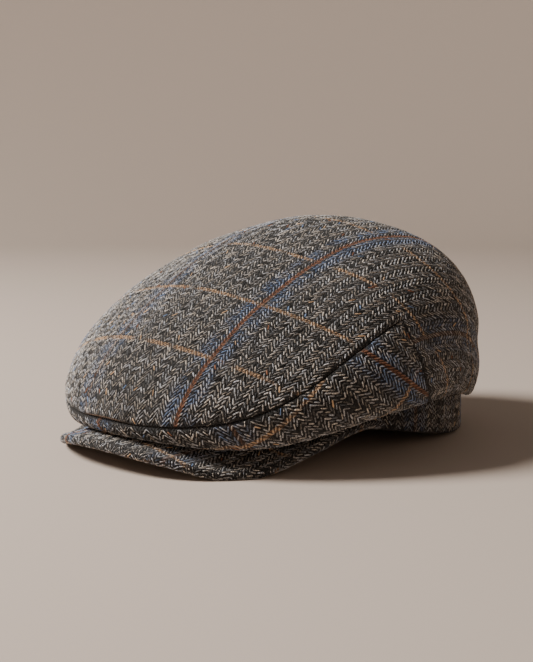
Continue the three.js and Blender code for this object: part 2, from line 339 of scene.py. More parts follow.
def relax(places: Array, flat: Array, closed: bool, rounds: int = 40) -> Array:
    """Lays a curved grid out flat so that its edges keep their lengths as well as they can.

    Args:
        places: grid of places on the curved face.
        flat: a first flat layout of the same grid.
        closed: True if the last column meets the first.
        rounds: how often the lengths are evened out.

    Returns:
        The flat layout.
    """
    gathering = 0.2                # stiffness against it, as a share of that against stretching
    push, smooth_every = 1.6, 4
    edge, diagonal = 1.0, 0.5
    first = flat
    flat = flat.copy()
    columns = np.arange(places.shape[0] if closed else places.shape[0] - 1)
    after = (columns + 1) % places.shape[0]
    rows = places.shape[1]
    pairs = [
        ((columns, slice(0, rows)), (after, slice(0, rows)), edge),
        ((slice(None), slice(0, rows - 1)), (slice(None), slice(1, rows)), edge),
        ((columns, slice(0, rows - 1)), (after, slice(1, rows)), diagonal),
        ((after, slice(0, rows - 1)), (columns, slice(1, rows)), diagonal),
    ]
    rest = [np.linalg.norm(places[b] - places[a], axis=-1) for a, b, _ in pairs]
    for turn in range(rounds):
        move = np.zeros_like(flat)
        weight = np.full(flat.shape[:2], 1e-9)
        for (a, b, stiffness), length in zip(pairs, rest):
            gap = flat[b] - flat[a]
            now = np.maximum(np.linalg.norm(gap, axis=-1), 1e-9)
            hold = stiffness * np.where(now > length, gathering, 1.0)
            pull = (0.5 * hold * (1 - length / now))[..., None] * gap
            move[a] += pull
            move[b] -= pull
            weight[a] += hold
            weight[b] += hold
        flat += push * move / weight[..., None]
        if turn % smooth_every == smooth_every - 1:
            flat = first + smoothed(flat - first, closed)
    return flat


def smoothed(values: Array, closed: bool) -> Array:
    """Evens out a grid of values between its neighbours.

    Args:
        values: grid of vectors.
        closed: True if the last column meets the first. The last row is then one point.

    Returns:
        The evened grid.
    """
    wide = np.concatenate([values[-1:], values, values[:1]]) if closed else values
    ends = (0, 0) if closed else (1, 1)
    wide = np.pad(wide, [ends, (1, 1), (0, 0)], mode="edge")
    across = wide[:-2, 1:-1] + wide[2:, 1:-1]
    along = wide[1:-1, :-2] + wide[1:-1, 2:]
    even = values / 2 + (across + along) / 8
    if closed:
        even[:, -1] = even[:, -1].mean(axis=0)
    return even


def between(values: Array, at: Array) -> Array:
    """Returns values between the entries of the first axis, at places counted in entries."""
    i = np.clip(np.floor(at).astype(int), 0, len(values) - 2)
    t = (at - i)[:, None, None]
    return values[i] * (1 - t) + values[i + 1] * t


def lay_flat(places: Array, first: Array, closed: bool, step: tuple[int, int]) -> Array:
    """Lays a fine grid flat by relaxing a coarser one and spreading its corrections.

    Args:
        places: fine grid of places on the curved face.
        first: a first flat layout of it.
        closed: True if the last column meets the first.
        step: fine columns to one coarse column, and fine rows to one coarse row.

    Returns:
        The flat layout of the fine grid.
    """
    columns = np.arange(0, places.shape[0], step[0])
    rows = np.unique(np.append(np.arange(0, places.shape[1], step[1]), places.shape[1] - 1))
    pick = np.ix_(columns, rows)
    change = relax(places[pick], first[pick], closed) - first[pick]
    column_at = np.arange(places.shape[0]) / step[0]
    row_at = np.interp(np.arange(places.shape[1]), rows, np.arange(len(rows)))
    if closed:
        change = np.concatenate([change, change[:1]])
    across = between(change, column_at)
    return first + between(across.swapaxes(0, 1), row_at).swapaxes(0, 1)


def strip_layout(places: Array) -> Array:
    """First flat layout of an open strip, which bends as its two long edges differ in length.

    Args:
        places: grid of places, with the strip's length along the columns.

    Returns:
        The flat layout, with the middle column upright.
    """
    tall = run_length(places, 1)
    steps = np.linalg.norm(np.diff(places, axis=0), axis=-1)
    height = (tall[:-1, -1] + tall[1:, -1]) / 2
    turn = np.append(0, np.cumsum((steps[:, 0] - steps[:, -1]) / height))
    turn -= turn[len(turn) // 2]
    middle = (turn[1:] + turn[:-1]) / 2
    forward = np.stack([np.cos(middle), np.sin(middle)], -1)
    stride = (steps[:, 0] + steps[:, -1]) / 2
    spine = np.concatenate([np.zeros((1, 2)), np.cumsum(forward * stride[:, None], axis=0)])
    spine -= spine[len(spine) // 2]
    up = np.stack([-np.sin(turn), np.cos(turn)], -1)
    return spine[:, None] + up[:, None] * (tall - tall[:, -1:] / 2)[..., None]


def grid_normals(places: Array, closed: bool) -> Array:
    """Normals of a grid of places, to the side from which columns run right and rows run up.

    Args:
        places: grid of places.
        closed: True if the last column meets the first.

    Returns:
        One unit normal for each place. They are upright where the columns meet in a point.
    """
    if closed:
        across = np.roll(places, -1, axis=0) - np.roll(places, 1, axis=0)
    else:
        across = np.gradient(places, axis=0)
    normal = np.cross(across, np.gradient(places, axis=1))
    normal[np.linalg.norm(across, axis=-1) < 1e-3] = (0, 0, 1)
    return unit(normal)


@dataclass
class Wall:
    """Closed cloth body: an outer face, and an inner one that comes back along it.

    The inner grid starts where the outer one ends. Flat layouts have one more column than
    the grids if the last column meets the first.
    """

    outer: Array
    inner: Array
    flat: Array
    inner_flat: Array
    closed: bool = False

    def bake_layout(self) -> Array:
        """Returns a layout in the unit square: the outer face, and the rest below it."""
        low = self.flat.min(axis=(0, 1))
        room = (self.flat.max(axis=(0, 1)) - low).max()
        share = (1 - 2 * BAKE_EDGE, 1 - BAKE_EDGE - BAKE_FACE)
        face = (self.flat - low) / room * share + (BAKE_EDGE, BAKE_FACE)
        across = np.linspace(BAKE_EDGE, 1 - BAKE_EDGE, self.flat.shape[0])
        along = np.linspace(BAKE_STRIP, BAKE_EDGE, self.inner.shape[1] + 2)
        return np.concatenate([face, np.stack(np.meshgrid(across, along, indexing="ij"), -1)], 1)

    def faces(self, size: int) -> tuple[Array, Array, Array]:
        """Faces round the loops, and over both ends of an open wall.

        Args:
            size: number of places in a loop.

        Returns:
            The faces' points, and the columns and rows of their corners in the layouts.
        """
        columns = self.outer.shape[0]
        spans = columns if self.closed else columns - 1
        i, j = np.meshgrid(np.arange(spans), np.arange(size), indexing="ij")
        column = np.stack([i, i + 1, i + 1, i], -1).reshape(-1, 4)
        row = np.stack([j, j, j + 1, j + 1], -1).reshape(-1, 4)
        points = column % columns * size + row % size
        if not self.closed:
            j = np.arange(size // 2 - 1)
            cap = np.stack([size - 1 - j, size - 2 - j, j + 1, j], -1)
            flat_row = np.repeat(j[:, None], 4, axis=1)
            for end, order in ((0, 1), (columns - 1, -1)):
                points = np.concatenate([points, end * size + cap[:, ::order]])
                column = np.concatenate([column, np.full_like(cap, end)])
                row = np.concatenate([row, flat_row])
        return points, column, row

    def build(self, name: str) -> bpy.types.Object:
        """Makes the body.

        Args:
            name: name of the object.

        Returns:
            The object, with smooth faces that point out and both layouts.
        """
        loops = np.concatenate([self.outer, self.outer[:, -1:], self.inner], axis=1)
        size = loops.shape[1]
        ends = (self.flat, self.inner_flat[:, :1], self.inner_flat, self.inner_flat[:, -1:])
        maps = {CLOTH_MAP: np.concatenate(ends, axis=1) * MM, BAKE_MAP: self.bake_layout()}
        points, column, row = self.faces(size)
        places = loops.reshape(-1, 3) * MM
        rounded = np.round(places, PLACE_DIGITS) + 0.0
        _, first, number = np.unique(rounded, axis=0, return_index=True, return_inverse=True)
        points = number.ravel()[points]
        places = places[first]
        a, b, c, d = (places[points[:, k]] for k in range(4))
        volume = np.sum(a * np.cross(b, c)) + np.sum(a * np.cross(c, d))
        order = range(4) if volume > 0 else range(3, -1, -1)
        corners = [
            [k for k in order if face[k] != face[(k + 1) % 4]] for face in points.tolist()
        ]
        kept = [(f, ks) for f, ks in enumerate(corners) if len(set(points[f, ks])) >= 3]
        faces = [[int(points[f, k]) for k in ks] for f, ks in kept]
        mesh = bpy.data.meshes.new(name)
        mesh.from_pydata(places.tolist(), [], faces)
        face_at = np.array([f for f, ks in kept for _ in ks])
        corner_at = np.array([k for _, ks in kept for k in ks])
        for key, layout in maps.items():
            layer = mesh.uv_layers.new(name=key)
            at = layout[column[face_at, corner_at], row[face_at, corner_at]]
            layer.data.foreach_set("uv", at.astype(np.float32).ravel())
        mesh.shade_smooth()
        mesh.set_sharp_from_angle(angle=SHARP_ANGLE)
        return linked(name, mesh)


class Link:
    """A node's output that takes part in Python expressions."""

    def __init__(self, graph: "Graph", socket: bpy.types.NodeSocket) -> None:
        """Keeps the socket and the graph that it belongs to."""
        self.graph = graph
        self.socket = socket

    def maths(self, operation: str, *others: "Link | float") -> "Link":
        """Returns the result of a Math node on this value and others."""
        values = dict(enumerate((self, *others)))
        return self.graph.add("ShaderNodeMath", {"operation": operation}, values)

    __add__ = __radd__ = partialmethod(maths, "ADD")
    __sub__ = partialmethod(maths, "SUBTRACT")
    __mul__ = __rmul__ = partialmethod(maths, "MULTIPLY")
    __truediv__ = partialmethod(maths, "DIVIDE")
    __gt__ = partialmethod(maths, "GREATER_THAN")
    floor = partialmethod(maths, "FLOOR")
    fract = partialmethod(maths, "FRACT")
    size = partialmethod(maths, "ABSOLUTE")

    def __rsub__(self, other: float) -> "Link":
        """Returns a number less this value."""
        return (self * -1) + other

    def odd(self) -> "Link":
        """Returns 1 for an odd whole number and 0 for an even one."""
        return (self * 0.5).fract() * 2

    def rise(self, low: float, high: float) -> "Link":
        """Returns 0 below low, 1 above high and a smooth rise between them."""
        settings = {"interpolation_type": "SMOOTHSTEP"}
        return self.graph.add("ShaderNodeMapRange", settings, {0: self, 1: low, 2: high})

    def scaled(self, gain: float, base: float) -> "Link":
        """Returns the value times a gain, on top of a base."""
        return self * gain + base

    def beyond(self, repeat: float) -> "Link":
        """Returns the distance from the nearest whole multiple of repeat."""
        return ((self / repeat + 0.5).fract() - 0.5).size() * repeat


@dataclass
class Graph:
    """A node tree under construction."""

    tree: bpy.types.NodeTree

    def add(
        self,
        kind: str,
        settings: dict[str, object] | None = None,
        inputs: dict[int | str, object] | None = None,
        output: int | str = 0,
    ) -> Link:
        """Adds a node.

        Args:
            kind: the node's type.
            settings: its own settings, which are set first.
            inputs: values or links by socket.
            output: the socket that is wanted.

        Returns:
            That output.
        """
        node = self.tree.nodes.new(kind)
        for key, value in (settings or {}).items():
            setattr(node, key, value)
        for key, value in (inputs or {}).items():
            if isinstance(value, Link):
                self.tree.links.new(value.socket, node.inputs[key])
            else:
                node.inputs[key].default_value = value
        return Link(self, node.outputs[output])

    def vector(self, x: Link | float, y: Link | float, z: Link | float = 0.0) -> Link:
        """Returns the vector of three numbers."""
        return self.add("ShaderNodeCombineXYZ", None, {0: x, 1: y, 2: z})

    def split(self, vector: Link) -> tuple[Link, Link, Link]:
        """Returns the three numbers of a vector."""
        first = self.add("ShaderNodeSeparateXYZ", None, {0: vector})
        return first, *(Link(self, first.socket.node.outputs[k]) for k in (1, 2))

    def vectors(self, operation: str, *values: Link | tuple, scale: Link | float = 1.0) -> Link:
        """Returns the result of a Vector Math node."""
        inputs = {**dict(enumerate(values)), 3: scale}
        return self.add("ShaderNodeVectorMath", {"operation": operation}, inputs)

    def mix(self, share: Link | float, below: Link | tuple, above: Link | tuple) -> Link:
        """Returns a colour between two others."""
        settings = {"data_type": "RGBA"}
        return self.add("ShaderNodeMix", settings, {0: share, 6: below, 7: above}, 2)

    def tint(self, colour: Link | tuple, level: Link) -> Link:
        """Returns a colour made lighter or darker by a number."""
        grey = self.add("ShaderNodeCombineColor", None, {0: level, 1: level, 2: level})
        settings = {"data_type": "RGBA", "blend_type": "MULTIPLY"}
        return self.add("ShaderNodeMix", settings, {0: 1.0, 6: colour, 7: grey}, 2)

    def attribute(self, name: str, output: str) -> Link:
        """Returns a value that the mesh carries."""
        settings = {"attribute_type": "GEOMETRY", "attribute_name": name}
        return self.add("ShaderNodeAttribute", settings, None, output)

    def noise(self, place: Link, scale: float, detail: float = 2.0) -> Link:
        """Returns smooth noise between 0 and 1."""
        inputs = {"Vector": place, "Scale": scale, "Detail": detail}
        return self.add("ShaderNodeTexNoise", None, inputs)


@dataclass(frozen=True)
class Weave:
    """The herringbone: leaning ribs of pale yarn in columns, in millimetres.

    A rib crosses its column in a few short floats, one above the other. Every other row of
    floats is duller. Lean is in degrees, and stagger in ribs.
    """

    column: float = 4.55
    strands: int = 2
    pitch: float = 2.7
    lean: float = 55.0
    length: float = 4.4
    width: float = 1.2
    height: float = 0.38
    stagger: float = 1.0


@dataclass(frozen=True)
class Check:
    """Where the coloured yarns of the windowpane check run, in millimetres on the bolt.

    A pair of distances from a line says where a colour starts to change and where it ends.
    The pairs after bead_depth say the same of the beads on a tan line and of the noise that
    wears the colours away. Every other rust line and blue band is faint.
    """

    rust_at: float = 54.5
    rust_repeat: float = 76.5
    tan_at: float = -13.5
    tan_repeat: float = 48
    line: tuple[float, float] = (1.0, 1.5)
    blue_starts: tuple[float, float] = (1.0, 1.8)
    blue_ends: tuple[float, float] = (6.25, 12.5)
    blue_cover: float = 0.85
    faint_blue: float = 0.5
    rust_cover: float = 0.95
    faint_rust: float = 0.65
    bead: float = 2.3
    bead_slant: float = 0.6
    bead_depth: float = 0.75
    bead_edge: tuple[float, float] = (0.5, 0.9)
    blue_patches: tuple[float, float] = (0.34, 0.56)
    blue_wear: tuple[float, float] = (0.3, 0.6)
    rust_wear: tuple[float, float] = (0.25, 0.42)
    tan_breaks: tuple[float, float] = (0.38, 0.54)
    tan_wear: tuple[float, float] = (0.25, 0.45)


def rgb(*levels: float) -> tuple[float, ...]:
    """Returns a colour with full cover."""
    return (*levels, 1.0)


class Yarn(Enum):
    """The two yarns of the cloth, each with its names of the check's colours."""

    GROUND = ("blue_ground", "rust_ground", "tan_ground")
    FLOAT = ("blue_float", "rust_float", "tan_float")


@dataclass(frozen=True)
class Tweed:
    """Brushed wool tweed: charcoal ground, pale grey floats and the check over both.

    A grain is the scale of a noise on millimetres, so a larger one is finer. A level is a
    gain and a base, and a heather pair is where the noise starts to count and where it ends.
    """

    name: str
    check: Check = Check()
    weave: Weave = Weave()
    ground_dark: tuple = rgb(0.006, 0.006, 0.0065)
    ground_pale: tuple = rgb(0.055, 0.052, 0.049)
    warm_float: tuple = rgb(0.48, 0.425, 0.36)
    cool_float: tuple = rgb(0.345, 0.36, 0.39)
    rust_float: tuple = rgb(0.25, 0.11, 0.06)
    rust_ground: tuple = rgb(0.08, 0.036, 0.022)
    tan_float: tuple = rgb(0.6, 0.4, 0.24)
    tan_ground: tuple = rgb(0.15, 0.09, 0.052)
    blue_float: tuple = rgb(0.17, 0.25, 0.42)
    blue_ground: tuple = rgb(0.014, 0.019, 0.034)
    roughness: float = 0.92
    specular: float = 0.25
    sheen: float = 0.1
    sheen_roughness: float = 0.5
    ground_relief: float = 0.0005
    float_relief: float = 0.0003
    patch_grain: float = 0.09
    fine_grain: float = 0.6
    break_grain: float = 0.05
    break_offset: tuple = (90.0, 40.0, 0.0)
    ground_grain: float = 0.8
    float_grain: float = 1.7
    cloud_grain: float = 0.05
    heather_detail: float = 3.0
    ground_heather: tuple[float, float] = (0.35, 0.75)
    ground_level: tuple[float, float] = (0.7, 0.45)
    rib_edge: tuple[float, float] = (0.15, 0.95)
    rib_relief: float = 0.8
    heather_relief: float = 0.4
    tone_level: tuple[float, float] = (1.35, 0.02)
    float_heather: tuple[float, float] = (0.33, 0.67)
    heather_level: tuple[float, float] = (1.3, 0.3)
    cloud_level: tuple[float, float] = (0.5, 0.75)
    hues: float = 17
    flecks: tuple = ((0.986, "tan_float"), (0.992, "rust_float"), (0.996, "blue_float"))

    def start(self, suffix: str) -> tuple[bpy.types.Material, Graph]:
        """Returns a new material and its graph, with the shader's constants set."""
        material = bpy.data.materials.new(f"{self.name}_{suffix}")
        material.use_nodes = True
        shader = material.node_tree.nodes["Principled BSDF"]
        shader.inputs["Roughness"].default_value = self.roughness
        shader.inputs["Specular IOR Level"].default_value = self.specular
        shader.inputs["Sheen Weight"].default_value = self.sheen
        shader.inputs["Sheen Roughness"].default_value = self.sheen_roughness
        return material, Graph(material.node_tree)

    def finish(self, graph: Graph, colour: Link, height: Link, depth: float) -> None:
        """Connects the colour and the relief to the shader.

        Args:
            graph: the material's graph.
            colour: colour over the surface.
            height: relief between 0 and 1.
            depth: height of that relief in metres.
        """
        shader = graph.tree.nodes["Principled BSDF"]
        inputs = {"Strength": 1.0, "Distance": depth, "Height": height}
        bump = graph.add("ShaderNodeBump", None, inputs)
        graph.tree.links.new(colour.socket, shader.inputs["Base Color"])
        graph.tree.links.new(bump.socket, shader.inputs["Normal"])

    def coloured(self, graph: Graph, place: Link, plain: Link, yarn: Yarn) -> Link:
        """Lays the coloured yarns of the check over a plain colour.

        Args:
            graph: the material's graph.
            place: place on the bolt in millimetres.
            plain: colour without the check.
            yarn: which yarn is coloured.

        Returns:
            The colour with the check.
        """
        blue, rust, tan = (getattr(self, name) for name in yarn.value)
        u, v, _ = graph.split(place)
        check = self.check
        patches = graph.noise(place, self.patch_grain)
        fine = graph.noise(place, self.fine_grain)
        from_rust = (u - check.rust_at).beyond(check.rust_repeat)
        from_tan = (v - check.tan_at).beyond(check.tan_repeat)
        faint = ((u - check.rust_at) / check.rust_repeat + 0.5).floor().odd()
        reach = from_rust.rise(*check.blue_starts) * (1 - from_rust.rise(*check.blue_ends))
        band = reach * patches.rise(*check.blue_patches) * fine.rise(*check.blue_wear)
        band = band * (1 - faint * check.faint_blue)
        colour = graph.mix(band * check.blue_cover, plain, blue)
        line = (1 - from_rust.rise(*check.line)) * (check.rust_cover - faint * check.faint_rust)
        colour = graph.mix(line * fine.rise(*check.rust_wear), colour, rust)
        moved = graph.vectors("ADD", place, self.break_offset)
        broken = graph.noise(moved, self.break_grain).rise(*check.tan_breaks)
        bead = ((u + v * check.bead_slant) / check.bead - 0.5).fract().rise(*check.bead_edge)
        line = (1 - from_tan.rise(*check.line)) * (1 - bead * check.bead_depth)
        return graph.mix(line * (broken * fine.rise(*check.tan_wear)), colour, tan)

    def ground(self) -> bpy.types.Material:
        """Returns the finish of the cloth under the floats."""
        material, graph = self.start("ground")
        flat = graph.add("ShaderNodeUVMap", {"uv_map": CLOTH_MAP})
        place = graph.vectors("SCALE", flat, scale=1 / MM)
        u, v, _ = graph.split(place)
        weave = self.weave
        column = (u / weave.column).floor()
        odd = column.odd()
        across = u / weave.column - column - 0.5
        slope = math.tan(math.radians(weave.lean)) * weave.column
        leaning = v - across * (1 - odd * 2) * slope - odd * weave.stagger * weave.pitch
        dark_float = ((leaning / weave.pitch).fract() - 0.5).size() * 2
        heather = graph.noise(place, self.ground_grain, self.heather_detail)
        pale = heather.rise(*self.ground_heather)
        colour = graph.mix(pale, self.ground_dark, self.ground_pale)
        colour = graph.tint(colour, dark_float.scaled(*self.ground_level))
        colour = self.coloured(graph, place, colour, Yarn.GROUND)
        relief = dark_float.rise(*self.rib_edge) * self.rib_relief
        relief = relief + heather * self.heather_relief
        self.finish(graph, colour, relief, self.ground_relief)
        return material

    def floats(self) -> bpy.types.Material:
        """Returns the finish of the pale floats."""
        material, graph = self.start("floats")
        tone = graph.attribute("tone", "Fac")
        place = graph.vectors("SCALE", graph.attribute("bolt_place", "Vector"), scale=1 / MM)
        heather = graph.noise(place, self.float_grain, self.heather_detail)
        cloud = graph.noise(place, self.cloud_grain)
        mottle = heather.rise(*self.float_heather).scaled(*self.heather_level)
        level = tone.scaled(*self.tone_level) * mottle * cloud.scaled(*self.cloud_level)
        hue = (tone * self.hues).fract()
        colour = graph.tint(graph.mix(hue, self.warm_float, self.cool_float), level)
        colour = self.coloured(graph, place, colour, Yarn.FLOAT)
        for share, name in self.flecks:
            colour = graph.mix(hue > share, colour, getattr(self, name))
        self.finish(graph, colour, heather, self.float_relief)
        return material


class Chance(Enum):
    """What differs from float to float: lowest, highest and the number added to the seed.

    Places along and aside are in pitches and widths, the turn is in radians, and sizes are
    shares of the usual ones.
    """

    ALONG = (-0.09, 0.09, 1)
    TONE = (0.0, 0.75, 2)
    LENGTH = (0.8, 1.2, 3)
    WIDTH = (0.6, 1.15, 4)
    HEIGHT = (0.7, 1.2, 5)
    TURN = (-0.17, 0.17, 6)
    ASIDE = (-0.15, 0.15, 7)


BRIGHTER_ROW = 0.25                # added to the tone of every other row
FLOAT_ROOM = 0.56                  # face needed each way from a float's middle, in its sizes
SPARE_CELLS = 2                    # cells of the grid of floats past each side of the charts
YARN_INPUTS = {
    "Geometry": ("Geometry",),
    "Float": ("Column Width", "Pitch", "Lean", "Length", "Width", "Height", "Stagger"),
    "Int": ("Strands", "Columns", "Rows", "Seed"),
    "Vector": ("Centre",),
    "Object": ("Float",),
    "Material": ("Finish",),
}


def yarn_tree() -> bpy.types.NodeTree:
    """Geometry tree that lays leaning floats of yarn on a face by its flat layout.

    Returns:
        The tree. Its geometry input is the face, with its flat places and normals.
    """
    tree = bpy.data.node_groups.new("Yarn floats", "GeometryNodeTree")
    sockets = [(name, kind) for kind, names in YARN_INPUTS.items() for name in names]
    for name, kind in sockets:
        tree.interface.new_socket(name, in_out="INPUT", socket_type=f"NodeSocket{kind}")
    tree.interface.new_socket("Geometry", in_out="OUTPUT", socket_type="NodeSocketGeometry")
    graph = Graph(tree)
    given = tree.nodes.new("NodeGroupInput")
    value = {name: Link(graph, given.outputs[name]) for name, _ in sockets}
    named = "GeometryNodeInputNamedAttribute"
    vector = {"data_type": "FLOAT_VECTOR"}
    flat_place = graph.add(named, vector, {"Name": "flat_place"})
    outward = graph.add(named, vector, {"Name": "outward"})
    position = graph.add("GeometryNodeInputPosition")

    def sample(what: Link, where: Link, output: int) -> Link:
        """Returns what the face has at a flat place, or whether there is any face there."""
        inputs = {0: value["Geometry"], 1: what, 2: flat_place, 3: where}
        return graph.add("GeometryNodeSampleUVSurface", vector, inputs, output)

    def random(chance: Chance) -> Link:
        """Returns a random number for each float."""
        low, high, salt = chance.value
        seed = value["Seed"] + salt
        return graph.add("FunctionNodeRandomValue", None, {2: low, 3: high, 8: seed}, 1)

    wide = (value["Columns"] - 1) * value["Column Width"] / value["Strands"]
    high = (value["Rows"] - 1) * value["Pitch"]
    size = {0: wide, 1: high, 2: value["Columns"], 3: value["Rows"]}
    grid = graph.add("GeometryNodeMeshGrid", None, size)
    x, y, _ = graph.split(graph.vectors("ADD", position, value["Centre"]))
    column = (x / value["Column Width"]).floor()
    odd = column.odd()
    across = (x / value["Column Width"] - column - 0.5) * value["Column Width"]
    rib = across * value["Lean"].maths("TANGENT") * (1 - odd * 2)
    moved = y + rib + value["Pitch"] * (odd * value["Stagger"] + random(Chance.ALONG))
    aside = x + value["Width"] * random(Chance.ASIDE)
    points = graph.add("GeometryNodeSetPosition", None, {0: grid, 2: graph.vector(aside, moved)})

    column_x, _, _ = graph.split(position)
    side = 1 - (column_x / value["Column Width"]).floor().odd() * 2
    lean = value["Lean"] * side
    cos, sin = lean.maths("COSINE"), lean.maths("SINE")
    inside = None
    for end in (-FLOAT_ROOM, FLOAT_ROOM):
        for edge in (-FLOAT_ROOM, FLOAT_ROOM):
            long, across = value["Length"] * end, value["Width"] * edge
            corner = graph.vector(cos * long - sin * across, sin * long + cos * across)
            here = sample(position, graph.vectors("ADD", position, corner), 1)
            both = {0: inside, 1: here}
            inside = here if inside is None else graph.add("FunctionNodeBooleanMath", None, both)
    outside = graph.add("FunctionNodeBooleanMath", {"operation": "NOT"}, {0: inside})
    points = graph.add("GeometryNodeDeleteGeometry", None, {0: points, 1: outside})
    index = graph.add("GeometryNodeInputIndex")
    keep = "GeometryNodeStoreNamedAttribute"
    points = graph.add(keep, {"data_type": "INT"}, {0: points, "Name": "yarn", "Value": index})
    row = (y / value["Pitch"]).floor().odd()
    tone = random(Chance.TONE) + (1 - row) * BRIGHTER_ROW
    points = graph.add(keep, {"data_type": "FLOAT"}, {0: points, "Name": "tone", "Value": tone})
    yarn = graph.add("GeometryNodeObjectInfo", None, {0: value["Float"]}, "Geometry")
    scale = graph.vector(
        value["Length"] * random(Chance.LENGTH),
        value["Width"] * random(Chance.WIDTH),
        value["Height"] * random(Chance.HEIGHT),
    )
    turn = graph.vector(0.0, 0.0, lean + random(Chance.TURN))
    inputs = {"Points": points, "Instance": yarn, "Rotation": turn, "Scale": scale}
    floats = graph.add("GeometryNodeInstanceOnPoints", None, inputs)
    floats = graph.add("GeometryNodeRealizeInstances", None, {0: floats})
    inputs = {0: floats, "Name": "bolt_place", "Value": position}
    floats = graph.add(keep, vector, inputs)
    missing = {0: sample(position, position, 1)}
    missing = graph.add("FunctionNodeBooleanMath", {"operation": "NOT"}, missing)
    floats = graph.add("GeometryNodeDeleteGeometry", None, {0: floats, 1: missing})
    _, _, above = graph.split(position)
    lifted = graph.vectors("SCALE", sample(outward, position, 0), scale=above)
    place = graph.vectors("ADD", sample(position, position, 0), lifted)
    floats = graph.add("GeometryNodeSetPosition", None, {0: floats, 2: place})
    floats = graph.add("GeometryNodeSetMaterial", None, {0: floats, "Material": value["Finish"]})
    end = tree.nodes.new("NodeGroupOutput")
    tree.links.new(floats.socket, end.inputs[0])
    return tree


def float_mesh() -> bpy.types.Object:
    """Returns one float of yarn, a unit long and wide, with a ridge for a back."""
    points = [
        (-0.5, 0, -0.4), (-0.28, -0.5, -0.4), (0.28, -0.5, -0.4), (0.5, 0, -0.4),
        (0.28, 0.5, -0.4), (-0.28, 0.5, -0.4), (-0.3, 0, 1), (0.3, 0, 1),
    ]
    faces = [
        (1, 2, 7, 6), (4, 5, 6, 7), (0, 1, 6), (0, 6, 5), (3, 7, 2), (3, 4, 7), (5, 4, 3, 2, 1, 0),
    ]
    mesh = bpy.data.meshes.new("yarn_float")
    mesh.from_pydata(points, [], faces)
    mesh.shade_smooth()
    return bpy.data.objects.new("yarn_float", mesh)


@dataclass
class Cloth:
    """The tweed made up: its two finishes, one float of yarn and the tree that lays it."""

    tweed: Tweed
    ground: bpy.types.Material = field(init=False)
    floats: bpy.types.Material = field(init=False)
    strand: bpy.types.Object = field(init=False)
    tree: bpy.types.NodeTree = field(init=False)

    def __post_init__(self) -> None:
        """Makes the finishes, the float and the tree."""
        self.ground = self.tweed.ground()
        self.floats = self.tweed.floats()
        self.strand = float_mesh()
        self.tree = yarn_tree()

    def settle(self, piece: bpy.types.Object, finish: bpy.types.Material) -> None:
        """Gives a piece its finish and its body, and reports it."""
        piece.data.materials.clear()
        piece.data.materials.append(finish)
        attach(piece, BODY)
        log.info("%s: %d faces", piece.name, len(piece.data.polygons))

    def cover(self, piece: bpy.types.Object, node: str) -> None:
        """Dresses a cloth body and lets it stand for its solid."""
        self.settle(piece, self.ground)
        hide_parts(node)

    def lay_yarn(self, name: str, charts: list[Chart], seed: int) -> None:
        """Lays the pale floats on the faces of a piece.

        Args:
            name: name of the object.
            charts: the faces, with flat layouts that don't overlap.
            seed: start of the random numbers.
        """
        weave = self.tweed.weave
        flat = np.concatenate([chart.flat.reshape(-1, 2) for chart in charts])
        low, high = flat.min(axis=0), flat.max(axis=0)
        cell = np.array([weave.column / weave.strands, weave.pitch])
        half = np.ceil((high - low) / cell / 2).astype(int) + SPARE_CELLS
        centre = (np.floor((low + high) / 2 / cell) + 0.5) * cell * MM
        piece = linked(name, joined_mesh(name, charts))
        modifier = piece.modifiers.new("Yarn", "NODES")
        modifier.node_group = self.tree
        values = {
            "Column Width": weave.column * MM,
            "Pitch": weave.pitch * MM,
            "Lean": math.radians(weave.lean),
            "Length": weave.length * MM,
            "Width": weave.width * MM,
            "Height": weave.height * MM,
            "Stagger": weave.stagger,
            "Strands": weave.strands,
            "Columns": int(2 * half[0] + 1),
            "Rows": int(2 * half[1] + 1),
            "Centre": (*centre.tolist(), 0.0),
            "Seed": seed,
            "Float": self.strand,
            "Finish": self.floats,
        }
        for socket in self.tree.interface.items_tree:
            if socket.in_out == "INPUT" and socket.name in values:
                modifier[socket.identifier] = values[socket.name]
        depsgraph = bpy.context.evaluated_depsgraph_get()
        mesh = bpy.data.meshes.new_from_object(piece.evaluated_get(depsgraph))
        piece.modifiers.remove(modifier)
        piece.data = mesh
        _, longest, _ = Chance.LENGTH.value
        lay_bake_cells(mesh, longest * weave.length * MM)
        self.settle(piece, self.floats)


def joined_mesh(name: str, charts: list[Chart]) -> bpy.types.Mesh:
    """Returns several charts as one mesh."""
    body = bmesh.new()
    for chart in charts:
        body.from_mesh(chart.mesh(name))
    mesh = bpy.data.meshes.new(name)
    body.to_mesh(mesh)
    body.free()
    return mesh


def lay_bake_cells(mesh: bpy.types.Mesh, size: float) -> None:
    """Adds a layout that gives each float of yarn its own cell of the unit square.

    Args:
        mesh: the floats, with their numbers and flat places.
        size: side of a cell on the cloth, in metres.
    """
    corner_point = np.zeros(len(mesh.loops), dtype=np.int32)
    mesh.loops.foreach_get("vertex_index", corner_point)
    yarn = np.zeros(len(mesh.vertices), dtype=np.int32)
    mesh.attributes["yarn"].data.foreach_get("value", yarn)
    flat = np.zeros(3 * len(mesh.vertices), dtype=np.float32)
    mesh.attributes["bolt_place"].data.foreach_get("vector", flat)
    flat = flat.reshape(-1, 3)[:, :2].astype(float)
    _, number = np.unique(yarn, return_inverse=True)
    count = number.max() + 1
    side = math.ceil(math.sqrt(count))
    middle = np.stack([np.bincount(number, flat[:, k]) for k in (0, 1)], -1)
    middle /= np.bincount(number)[:, None]
    local = (flat - middle[number]) / size
    cell = np.stack([number % side, number // side], -1) + 0.5
    layer = mesh.uv_layers.new(name=BAKE_MAP)
    at = ((cell + np.clip(local, -CELL_REACH, CELL_REACH)) / side)[corner_point]
    layer.data.foreach_set("uv", at.astype(np.float32).ravel())


